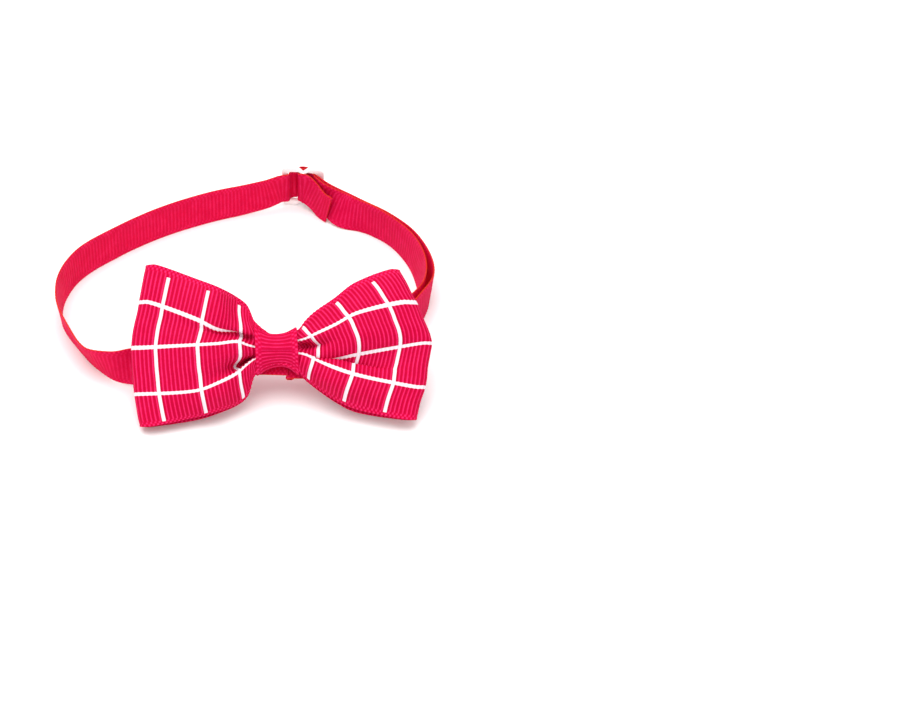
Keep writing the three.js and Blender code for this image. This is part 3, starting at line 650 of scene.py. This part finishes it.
def printed_grid(add, settings, along, across, face, base, rough, grain, height):
    """White ink printed over the ribs in a square grid. Its borders are a little ragged where it bridges the
    grooves, and it stops short of the woven edges. Gives the colour, the roughness and the ink's cover."""
    half_width, half_line, soft = settings["half_width"], settings["line_width"] / 2, 0.04 * MM
    # The border wanders by a few hundredths of a millimetre, and draws in a little in each groove.
    drawn_in = add(MATH, (grain, height), operation="SUBTRACT")
    wander = add(MATH, (drawn_in, 0.05 * MM), operation="MULTIPLY")
    masks = []
    for value, start, pitch in ((along, settings["left_line"], settings["line_pitch"]),
                                (across, LINE_OFFSET * MM, settings["row_pitch"])):
        shifted = add(MATH, (value, start), operation="SUBTRACT")
        away = add(MATH, (shifted, pitch), operation="PINGPONG")
        # Pingpong runs up to the pitch and back, so its two ends are both lines.
        other = add(MATH, (pitch, away), operation="SUBTRACT")
        nearest = add(MATH, (away, other), operation="MINIMUM")
        ragged = add(MATH, (nearest, wander), operation="ADD")
        masks.append(add("ShaderNodeMapRange", {"Value": ragged, "From Min": half_line - soft,
                                                "From Max": half_line + soft, "To Min": 1.0, "To Max": 0.0}))
    both = add(MATH, masks, operation="MAXIMUM")
    below_top = add(MATH, (across, half_width - TOP_MARGIN * MM), operation="LESS_THAN")
    above_bottom = add(MATH, (across, BOTTOM_MARGIN * MM - half_width), operation="GREATER_THAN")
    inside = add(MATH, (below_top, above_bottom), operation="MULTIPLY")
    outside = add(MATH, (face, 0.5), operation="GREATER_THAN")
    lines = add(MATH, (both, inside), operation="MULTIPLY")
    ink = add(MATH, (lines, outside), operation="MULTIPLY")
    # Thin ink in the grooves lets a little of the dye through.
    cover = add("ShaderNodeMapRange", {"Value": height, "From Max": 0.5, "To Min": 0.93})
    amount = add(MATH, (ink, cover), operation="MULTIPLY")
    inked = add("ShaderNodeMix", {0: amount, 6: base, 7: linear(settings["ink"])}, data_type="RGBA")
    inked_rough = add("ShaderNodeMix", {0: amount, 2: rough, 3: 0.55}, data_type="FLOAT")
    return inked.outputs[2], inked_rough.outputs[0], amount


def moulded_material(name, colour):
    """Injection-moulded white polypropylene: bright, slightly warm, satin, and a little translucent."""
    material, add = new_material(name)
    place = add("ShaderNodeTexCoord").outputs["Object"]
    mottle = add("ShaderNodeTexNoise", {"Vector": place, "Scale": 0.9 * PER_MM, "Detail": 3.0}).outputs[0]
    base = add("ShaderNodeMix", {0: mottle, 6: linear(colour), 7: linear("#f2eeec")}, data_type="RGBA")
    rough = add("ShaderNodeMapRange", {"Value": mottle, "To Min": 0.28, "To Max": 0.42})
    bump = add("ShaderNodeBump", {"Height": mottle, "Strength": 0.1, "Distance": 0.04 * MM})
    shader = add("ShaderNodeBsdfPrincipled", {
        "Base Color": base.outputs[2], "Roughness": rough, "Normal": bump, "IOR": 1.49,
        "Subsurface Weight": 0.15, "Subsurface Radius": (1.0, 0.8, 0.8), "Subsurface Scale": 1.0 * MM,
    })
    add("ShaderNodeOutputMaterial", {"Surface": shader})
    return material


# ------------ settings


def length_setting(name, description, metres):
    """A setting that is a length."""
    return bpy.props.FloatProperty(name=name, description=description, default=metres, unit="LENGTH",
                                   subtype="DISTANCE", precision=5)


def colour_setting(name, description, code):
    """A setting that is a colour."""
    return bpy.props.StringProperty(name=name, description=f"{description} as sRGB hex", default=code)


class RibbonSettings(bpy.types.PropertyGroup):
    """Sizes and colours of the ribbons."""

    strap_width: length_setting("Strap width", "Width of the neck strap's ribbon", 0.010)
    bow_width: length_setting("Bow width", "Width of the bow's ribbon", 0.038)
    thickness: length_setting("Thickness", "Thickness of a ribbon without its ribs", 0.00036)
    rib_pitch: length_setting("Rib pitch", "Spacing of the ribs along a ribbon", 0.00097)
    rib_height: length_setting("Rib height", "How far a rib stands above its groove", 0.00015)
    edge_width: length_setting("Woven edge", "Width of the flat woven edge", 0.0014)
    line_pitch: length_setting("Line pitch", "Spacing of the lines across the ribbon", 0.0097)
    row_pitch: length_setting("Row pitch", "Spacing of the lines along the ribbon", 0.01015)
    line_width: length_setting("Line width", "Width of a printed line", 0.00087)
    left_line: length_setting("Left line", "First line's distance from the left fold", 0.0066)
    right_line: length_setting("Right line", "First line's distance from the right fold", 0.0087)
    colour: colour_setting("Ribbon", "Ribbon colour", "#de034a")
    # Painted highlight and shade: the crest colour is the ribbon lit on top of a rib, and the groove colour
    # is the ribbon in shade between ribs.
    crest: colour_setting("Rib crest", "Colour on top of the ribs", "#fc3276")
    groove: colour_setting("Groove", "Colour between the ribs", "#c6013a")
    # Painted glow: the rim colour stands in for light coming through the cut edge.
    rim: colour_setting("Rim", "Colour of a ribbon's thin edge", "#d83c20")
    through: colour_setting("Show-through", "Colour of light through the cloth", "#f01420")
    ink: colour_setting("Ink", "Colour of the printed lines", "#e2d8df")


class SlideSettings(bpy.types.PropertyGroup):
    """Finish of the slide."""

    colour: colour_setting("Plastic", "Slide colour", "#fbf7f6")
    edge_round: length_setting("Edge rounding", "Radius of the slide's edges", 0.00022)


class StageSettings(bpy.types.PropertyGroup):
    """Floor and light."""

    floor: colour_setting("Floor", "Floor colour", "#f8f7f7")
    sky: bpy.props.FloatProperty(name="Surrounding light", description="Strength of the even light all round",
                                 default=0.81, min=0.0)
    key: bpy.props.FloatProperty(name="Main softbox", description="Power of the softbox overhead",
                                 default=2.05, min=0.0, unit="POWER")
    elevation: bpy.props.FloatProperty(name="Camera elevation", description="Camera height above the horizon",
                                       default=math.radians(42), subtype="ANGLE")


def ribbon_settings(scene, width, rib_shading, rim):
    """The ribbon settings that a material needs, for a ribbon of that width. contrast is how strongly the
    painted highlight on the rib crests and the painted shade in the grooves show, and rim is the colour
    painted on its thin edge, which on the strap is a painted glow of light through the cut yarn."""
    names = ("rib_pitch", "edge_width", "line_pitch", "row_pitch", "line_width", "left_line", "colour",
             "crest", "groove", "through", "ink")
    return {"half_width": width / 2, "rib_shading": rib_shading, "rim": rim,
            **{name: getattr(scene.bow_ribbons, name) for name in names}}


# ------------ operators


class BOWTIE_OT_bow(bpy.types.Operator):
    """Make the bow's pinched loop of wide printed ribbon"""

    bl_idname = "bowtie.bow"
    bl_label = "Bow Ribbon"

    def execute(self, context):
        s = context.scene.bow_ribbons
        across = across_places(s.bow_width / MM, BOW_CELLS, BOW_RIM)
        step = s.rib_pitch / MM / STATIONS_PER_RIB
        sheet, along = bow_sheet(across, step, s.left_line / MM, s.right_line / MM, s.line_pitch / MM)
        shell = ribbon_shell("bow_loop", sheet, along, across, s.thickness / MM, BOW_RIM, closed=True)
        settings = ribbon_settings(context.scene, s.bow_width, rib_shading=1.0, rim=s.colour)
        material = grosgrain_material("Printed polyester grosgrain", settings, printed=True)
        woven(shell, material, settings, rib_height=s.rib_height, ripple=0.4 * MM)
        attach(shell, "root")
        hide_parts("bow_ribbon")
        return {"FINISHED"}


class BOWTIE_OT_knot(bpy.types.Operator):
    """Make the narrow ribbon wrapped round the pinch"""

    bl_idname = "bowtie.knot"
    bl_label = "Knot Band"

    def execute(self, context):
        s = context.scene.bow_ribbons
        width, low_middle = KNOT["width"], KNOT["low_middle"]
        across = across_places(width, KNOT_CELLS, NARROW_RIM)
        share = across / (width / 2)
        angles = np.linspace(0, 2 * math.pi, KNOT_STATIONS, endpoint=False)
        cosine, sine = np.cos(angles)[:, None], np.sin(angles)[:, None]
        # Above, the band is flat in front and highest at its edges; below, it rounds away under itself and is
        # narrowest a little to the right.
        power = np.where((sine < 0) & (cosine > 0), KNOT_DRAWN_IN, KNOT_BOXY)
        low_share = (share - low_middle) / np.where(share > low_middle, 1 - low_middle, 1 + low_middle)
        high = KNOT["waist"] + KNOT["flare"] * share**2 + KNOT["left_rise"] * np.clip(-share, 0, 1) ** 4
        low = KNOT["low_waist"] + KNOT["low_flare"] * low_share**2
        up = np.where(sine > 0, high, low) * np.sign(sine) * np.abs(sine) ** power
        front = KNOT["depth"] * np.sign(cosine) * np.abs(cosine) ** power
        sheet = on_bow(across[None, :] - KNOT["slant"] * up, up, front + 0 * up)
        middle = sheet[:, len(across) // 2]
        length = run_length(np.vstack([middle, middle[:1]]))
        shell = ribbon_shell("knot_wrap", sheet, length[:-1], across, s.thickness / MM, NARROW_RIM,
                             closed=True)
        settings = ribbon_settings(context.scene, width * MM, rib_shading=0.7, rim=s.colour)
        settings["rib_pitch"] *= KNOT_RIBS
        material = grosgrain_material("Polyester grosgrain knot", settings)
        woven(shell, material, settings, rib_height=s.rib_height * KNOT_RIBS, ripple=0.3 * MM)
        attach(shell, "root")
        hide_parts("knot_band")
        return {"FINISHED"}


class BOWTIE_OT_strap(bpy.types.Operator):
    """Make the neck strap's ribbon, threaded through the slide"""

    bl_idname = "bowtie.strap"
    bl_label = "Neck Strap"

    def execute(self, context):
        s = context.scene.bow_ribbons
        width = s.strap_width / MM
        dense = smooth_rows(strap_rows(width))
        length = run_length(dense)[-1]
        line = at_lengths(dense, np.arange(0, length, s.rib_pitch / MM / STATIONS_PER_RIB))
        middle, across_way = line[:, :3], line[:, 3:]
        forward = unit(np.gradient(middle, axis=0))
        across_way = unit(across_way - (across_way * forward).sum(1, keepdims=True) * forward)
        across = across_places(width, STRAP_CELLS, NARROW_RIM)
        sheet = middle[:, None] + across[None, :, None] * across_way[:, None]
        low = sheet[..., 2].min(axis=1) - s.rib_height / MM / 2
        sheet[..., 2] -= np.minimum(low, 0)[:, None]
        shell = ribbon_shell("neck_ribbon", sheet, run_length(middle), across, s.thickness / MM, NARROW_RIM,
                             closed=False)
        # The strap's rim gets the painted glow of light through its cut edge. The bow and the knot keep the
        # ribbon colour there.
        settings = ribbon_settings(context.scene, s.strap_width, rib_shading=0.3, rim=s.rim)
        material = grosgrain_material("Polyester grosgrain strap", settings)
        woven(shell, material, settings, rib_height=s.rib_height * STRAP_RIBS, ripple=0.2 * MM)
        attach(shell, "root")
        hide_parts("neck_strap")
        return {"FINISHED"}


class BOWTIE_OT_slide(bpy.types.Operator):
    """Make the moulded slide that the strap runs through"""

    bl_idname = "bowtie.slide"
    bl_label = "Slide"

    def execute(self, context):
        s = context.scene.bow_slide
        half_length, half_height, corner = SLIDE["length"] / 2, SLIDE["height"] / 2, SLIDE["corner"]
        quarter = [(0, half_height - SLIDE["notch"]), (SLIDE["notch_width"] / 2, half_height)] + [
            (half_length - corner * (1 - math.cos(a)), half_height - corner * (1 - math.sin(a)))
            for a in np.linspace(math.pi / 2, 0, 9)]
        clockwise = (quarter + [(x, -y) for x, y in reversed(quarter)]
                     + [(-x, -y) for x, y in quarter[1:]] + [(-x, y) for x, y in reversed(quarter)][:-1])
        near, far, tall = SLIDE["bar"] / 2, SLIDE["bar"] / 2 + SLIDE["slot"], SLIDE["slot_height"] / 2
        small, (cut_along, cut_down) = SLIDE["slot_corner"], SLIDE["slot_cut"]
        top = [(near + small, tall), (far - cut_along, tall - SLIDE["slot_slope"]), (far, tall - cut_down)]
        slot = top + [(x, -y) for x, y in reversed(top)] + [(near, small - tall), (near, tall - small)]
        loops = [clockwise[::-1], slot, [(-x, y) for x, y in reversed(slot)]]
        mesh = plate_mesh("slide", loops, SLIDE["thickness"] / 2, s.edge_round / MM)
        piece = finished_object("slide", mesh)
        piece.data.set_sharp_from_angle(angle=math.radians(35))
        piece.data.materials.clear()
        piece.data.materials.append(moulded_material("Moulded polypropylene", s.colour))
        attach(piece, "root")
        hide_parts("slider")
        return {"FINISHED"}


class BOWTIE_OT_stage(bpy.types.Operator):
    """Make the pale floor, the soft light and the camera"""

    bl_idname = "bowtie.stage"
    bl_label = "Stage"

    def execute(self, context):
        s = context.scene.bow_stage
        link = context.scene.collection.objects.link
        mesh = bpy.data.meshes.new("floor")
        reach = 3.0
        mesh.from_pydata([(-reach, -reach, 0), (reach, -reach, 0), (reach, reach, 0), (-reach, reach, 0)], [],
                         [(0, 1, 2, 3)])
        floor = bpy.data.objects.new("floor", mesh)
        link(floor)
        material, add = new_material("Matt white board")  # even and without gloss
        shader = add("ShaderNodeBsdfPrincipled", {"Base Color": linear(s.floor), "Roughness": 0.9,
                                                  "Specular IOR Level": 0.1})
        add("ShaderNodeOutputMaterial", {"Surface": shader})
        mesh.materials.append(material)

        world = bpy.data.worlds.new("Studio")
        world.use_nodes = True
        world.node_tree.nodes["Background"].inputs["Color"].default_value = (1, 1, 1, 1)
        world.node_tree.nodes["Background"].inputs["Strength"].default_value = s.sky
        context.scene.world = world
        for name, (place, size, share) in SOFTBOXES.items():
            light = bpy.data.lights.new(name, "AREA")
            light.shape, light.size, light.energy = "SQUARE", size, s.key * share
            lamp = bpy.data.objects.new(name, light)
            lamp.location = place
            lamp.rotation_euler = (-Vector(place)).to_track_quat("-Z", "Y").to_euler()
            link(lamp)

        # The camera stands in front of the bow and above it, turned a little to the right and down.
        way = np.array([0, -math.cos(s.elevation), math.sin(s.elevation)])
        camera = bpy.data.objects.new("camera", bpy.data.cameras.new("camera"))
        camera.data.lens, camera.data.sensor_width = CAMERA["lens"], 36.0
        camera.data.clip_start, camera.data.clip_end = 0.01, 20.0
        camera.location = placed(CAMERA["distance"] * way)
        camera.rotation_euler = (Matrix.Rotation(math.pi / 2 - s.elevation, 3, "X")
                                 @ Matrix.Rotation(-math.radians(CAMERA["right"]), 3, "Y")
                                 @ Matrix.Rotation(-math.radians(CAMERA["down"]), 3, "X")).to_euler()
        link(camera)
        context.scene.camera = camera
        context.scene.view_settings.view_transform = "Standard"
        return {"FINISHED"}


class BOWTIE_PT_panel(bpy.types.Panel):
    """Lists the pieces and their settings."""

    bl_idname = "BOWTIE_PT_panel"
    bl_label = "Bow Tie"
    bl_space_type = "VIEW_3D"
    bl_region_type = "UI"
    bl_category = "Bow Tie"

    def draw(self, context):
        scene = context.scene
        for settings, operators in ((scene.bow_ribbons, (BOWTIE_OT_bow, BOWTIE_OT_knot, BOWTIE_OT_strap)),
                                    (scene.bow_slide, (BOWTIE_OT_slide,)),
                                    (scene.bow_stage, (BOWTIE_OT_stage,))):
            box = self.layout.box()
            for name in settings.bl_rna.properties.keys():
                if name not in ("rna_type", "name"):
                    box.prop(settings, name)
            for operator in operators:
                box.operator(operator.bl_idname)


CLASSES = (RibbonSettings, SlideSettings, StageSettings, BOWTIE_OT_bow, BOWTIE_OT_knot, BOWTIE_OT_strap,
           BOWTIE_OT_slide, BOWTIE_OT_stage, BOWTIE_PT_panel)


def register():
    for cls in CLASSES:
        bpy.utils.register_class(cls)
    bpy.types.Scene.bow_ribbons = bpy.props.PointerProperty(type=RibbonSettings)
    bpy.types.Scene.bow_slide = bpy.props.PointerProperty(type=SlideSettings)
    bpy.types.Scene.bow_stage = bpy.props.PointerProperty(type=StageSettings)


def unregister():
    del bpy.types.Scene.bow_stage
    del bpy.types.Scene.bow_slide
    del bpy.types.Scene.bow_ribbons
    for cls in reversed(CLASSES):
        bpy.utils.unregister_class(cls)


def main():
    register()
    bpy.ops.bowtie.stage()
    bpy.ops.bowtie.bow()
    bpy.ops.bowtie.knot()
    bpy.ops.bowtie.strap()
    bpy.ops.bowtie.slide()


if __name__ == "__main__":
    main()
